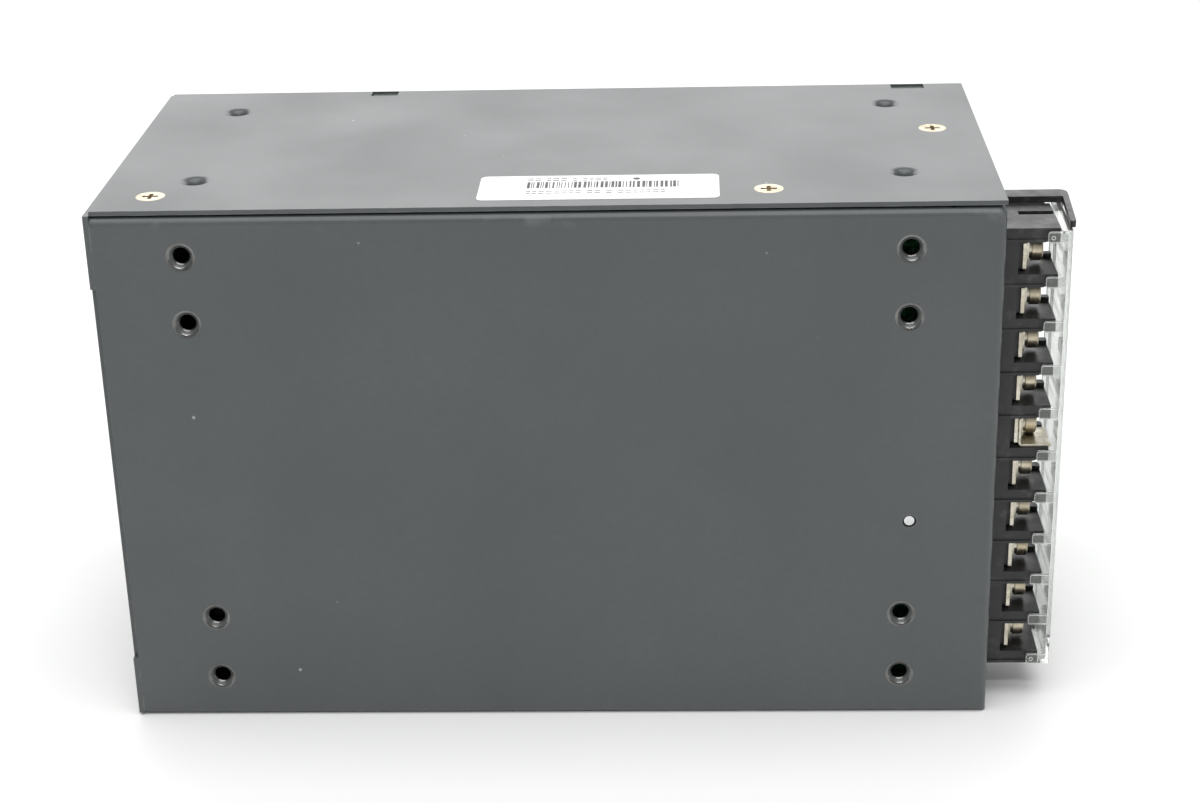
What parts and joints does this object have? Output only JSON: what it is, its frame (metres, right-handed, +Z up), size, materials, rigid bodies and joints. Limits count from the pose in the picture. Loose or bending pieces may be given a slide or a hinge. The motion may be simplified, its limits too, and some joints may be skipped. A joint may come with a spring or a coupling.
{
  "type": "enclosed power supply",
  "caption": "Enclosed fan-cooled power supply: folded sheet case with tapped mounting holes, a row of screw terminals under a clear hinged cover, fan and trimmer.",
  "frame": {"origin": "middle of the case's base, on the plane it stands on", "axes": "+X towards the terminals, +Z up, -Y out of the side wall beside the terminals"},
  "size_m": [0.2116, 0.092, 0.1201],
  "materials": {
    "case_paint": "dark blue-grey satin powder coat",
    "label_face": "white label stock",
    "nickel_screw": "bright nickel plating, slightly yellow",
    "zinc_screw": "zinc plated",
    "block_plastic": "black moulded thermoplastic",
    "tinned_metal": "tinned copper alloy",
    "clear_plastic": "clear moulded polycarbonate",
    "lamp_plastic": "translucent green",
    "dial_plastic": "white nylon",
    "trimmer_plastic": "blue moulded housing",
    "fan_plastic": "black moulded plastic",
    "guard_wire": "chromed steel wire",
    "board_laminate": "green solder mask over laminate",
    "insulation_film": "translucent film",
    "ferrite": "dark sintered ferrite",
    "copper_wire": "enamelled copper",
    "winding_tape": "yellow polyester tape",
    "capacitor_sleeve": "shrunk sleeve",
    "film_capacitor": "moulded box",
    "fuse_glass": "glass tube with nickel caps",
    "heatsink_metal": "extruded, plain",
    "epoxy": "black moulding compound"
  },
  "bodies": {
    "housing": {"chassis": "case_paint", "cover": "case_paint", "rear_panel": "case_paint", "label": "label_face", "cover_screws": "nickel_screw", "rear_panel_screws": "nickel_screw", "ground_screw": "zinc_screw", "terminal_block": "block_plastic", "terminal_plates": "tinned_metal", "bent_tab": "tinned_metal", "shield_bracket_top": "block_plastic", "shield_bracket_bottom": "block_plastic", "control_board": "board_laminate", "trimmer_body": "trimmer_plastic", "power_lamp": "lamp_plastic", "fan_frame": "fan_plastic", "fan_guard": "guard_wire", "fan_screws": "zinc_screw", "main_board": "board_laminate", "board_standoffs": "zinc_screw", "board_screws": "zinc_screw", "insulation_sheet": "insulation_film", "input_choke_core": "ferrite", "input_choke_winding": "copper_wire", "line_capacitor": "film_capacitor", "fuse": "fuse_glass", "bridge_rectifier": "epoxy", "bulk_capacitors": "capacitor_sleeve", "primary_heatsink": "heatsink_metal", "power_transistors": "epoxy", "secondary_heatsink": "heatsink_metal", "output_rectifiers": "epoxy", "transformer_core": "ferrite", "transformer_winding": "winding_tape", "output_choke_core": "ferrite", "output_choke_winding": "copper_wire", "output_capacitors": "capacitor_sleeve"},
    "shield": {"terminal_shield": "clear_plastic"},
    "dial": {"trimmer_dial": "dial_plastic"},
    "rotor": {"fan_rotor": "fan_plastic"},
    "washers_1": {"terminal_washers_1": "tinned_metal"},
    "screw_1": {"terminal_screw_1": "nickel_screw"},
    "washers_2": {"terminal_washers_2": "tinned_metal"},
    "screw_2": {"terminal_screw_2": "nickel_screw"},
    "washers_3": {"terminal_washers_3": "tinned_metal"},
    "screw_3": {"terminal_screw_3": "nickel_screw"},
    "washers_4": {"terminal_washers_4": "tinned_metal"},
    "screw_4": {"terminal_screw_4": "nickel_screw"},
    "washers_5": {"terminal_washers_5": "tinned_metal"},
    "screw_5": {"terminal_screw_5": "nickel_screw"},
    "washers_6": {"terminal_washers_6": "tinned_metal"},
    "screw_6": {"terminal_screw_6": "nickel_screw"},
    "washers_7": {"terminal_washers_7": "tinned_metal"},
    "screw_7": {"terminal_screw_7": "nickel_screw"},
    "washers_8": {"terminal_washers_8": "tinned_metal"},
    "screw_8": {"terminal_screw_8": "nickel_screw"},
    "washers_9": {"terminal_washers_9": "tinned_metal"},
    "screw_9": {"terminal_screw_9": "nickel_screw"},
    "washers_10": {"terminal_washers_10": "tinned_metal"},
    "screw_10": {"terminal_screw_10": "nickel_screw"}
  },
  "joints": [
    {"name": "shield_hinge", "type": "hinge", "parent": "housing", "child": "shield", "pos_m": [0.1091, -0.0191, 0.06], "axis": [0, 0, 1], "range_deg": [0, 110]},
    {"name": "trimmer_turn", "type": "hinge", "parent": "housing", "child": "dial", "pos_m": [0.092, -0.006, 0.097], "axis": [1, 0, 0], "range_deg": [-135, 135]},
    {"name": "fan_spin", "type": "hinge", "parent": "housing", "child": "rotor", "pos_m": [-0.082, 0, 0.06], "axis": [1, 0, 0], "continuous": true},
    {"name": "screw_1_travel", "type": "slide", "parent": "housing", "child": "washers_1", "axis": [1, 0, 0], "range_m": [0, 0.0021]},
    {"name": "screw_1_turn", "type": "hinge", "parent": "washers_1", "child": "screw_1", "pos_m": [0.1035, -0.031, 0.015], "axis": [1, 0, 0], "range_deg": [0, 1080]},
    {"name": "screw_2_travel", "type": "slide", "parent": "housing", "child": "washers_2", "axis": [1, 0, 0], "range_m": [0, 0.0021]},
    {"name": "screw_2_turn", "type": "hinge", "parent": "washers_2", "child": "screw_2", "pos_m": [0.1035, -0.031, 0.025], "axis": [1, 0, 0], "range_deg": [0, 1080]},
    {"name": "screw_3_travel", "type": "slide", "parent": "housing", "child": "washers_3", "axis": [1, 0, 0], "range_m": [0, 0.0021]},
    {"name": "screw_3_turn", "type": "hinge", "parent": "washers_3", "child": "screw_3", "pos_m": [0.1035, -0.031, 0.035], "axis": [1, 0, 0], "range_deg": [0, 1080]},
    {"name": "screw_4_travel", "type": "slide", "parent": "housing", "child": "washers_4", "axis": [1, 0, 0], "range_m": [0, 0.0021]},
    {"name": "screw_4_turn", "type": "hinge", "parent": "washers_4", "child": "screw_4", "pos_m": [0.1035, -0.031, 0.045], "axis": [1, 0, 0], "range_deg": [0, 1080]},
    {"name": "screw_5_travel", "type": "slide", "parent": "housing", "child": "washers_5", "axis": [1, 0, 0], "range_m": [0, 0.0021]},
    {"name": "screw_5_turn", "type": "hinge", "parent": "washers_5", "child": "screw_5", "pos_m": [0.1035, -0.031, 0.055], "axis": [1, 0, 0], "range_deg": [0, 1080]},
    {"name": "screw_6_travel", "type": "slide", "parent": "housing", "child": "washers_6", "axis": [1, 0, 0], "range_m": [0, 0.0021]},
    {"name": "screw_6_turn", "type": "hinge", "parent": "washers_6", "child": "screw_6", "pos_m": [0.1035, -0.031, 0.065], "axis": [1, 0, 0], "range_deg": [0, 1080]},
    {"name": "screw_7_travel", "type": "slide", "parent": "housing", "child": "washers_7", "axis": [1, 0, 0], "range_m": [0, 0.0021]},
    {"name": "screw_7_turn", "type": "hinge", "parent": "washers_7", "child": "screw_7", "pos_m": [0.1035, -0.031, 0.075], "axis": [1, 0, 0], "range_deg": [0, 1080]},
    {"name": "screw_8_travel", "type": "slide", "parent": "housing", "child": "washers_8", "axis": [1, 0, 0], "range_m": [0, 0.0021]},
    {"name": "screw_8_turn", "type": "hinge", "parent": "washers_8", "child": "screw_8", "pos_m": [0.1035, -0.031, 0.085], "axis": [1, 0, 0], "range_deg": [0, 1080]},
    {"name": "screw_9_travel", "type": "slide", "parent": "housing", "child": "washers_9", "axis": [1, 0, 0], "range_m": [0, 0.0021]},
    {"name": "screw_9_turn", "type": "hinge", "parent": "washers_9", "child": "screw_9", "pos_m": [0.1035, -0.031, 0.095], "axis": [1, 0, 0], "range_deg": [0, 1080]},
    {"name": "screw_10_travel", "type": "slide", "parent": "housing", "child": "washers_10", "axis": [1, 0, 0], "range_m": [0, 0.0021]},
    {"name": "screw_10_turn", "type": "hinge", "parent": "washers_10", "child": "screw_10", "pos_m": [0.1035, -0.031, 0.105], "axis": [1, 0, 0], "range_deg": [0, 1080]}
  ],
  "couplings": [
    {"joint": "screw_1_turn", "follows": "screw_1_travel", "rad_per_m": 8975.9},
    {"joint": "screw_2_turn", "follows": "screw_2_travel", "rad_per_m": 8975.9},
    {"joint": "screw_3_turn", "follows": "screw_3_travel", "rad_per_m": 8975.9},
    {"joint": "screw_4_turn", "follows": "screw_4_travel", "rad_per_m": 8975.9},
    {"joint": "screw_5_turn", "follows": "screw_5_travel", "rad_per_m": 8975.9},
    {"joint": "screw_6_turn", "follows": "screw_6_travel", "rad_per_m": 8975.9},
    {"joint": "screw_7_turn", "follows": "screw_7_travel", "rad_per_m": 8975.9},
    {"joint": "screw_8_turn", "follows": "screw_8_travel", "rad_per_m": 8975.9},
    {"joint": "screw_9_turn", "follows": "screw_9_travel", "rad_per_m": 8975.9},
    {"joint": "screw_10_turn", "follows": "screw_10_travel", "rad_per_m": 8975.9}
  ]
}
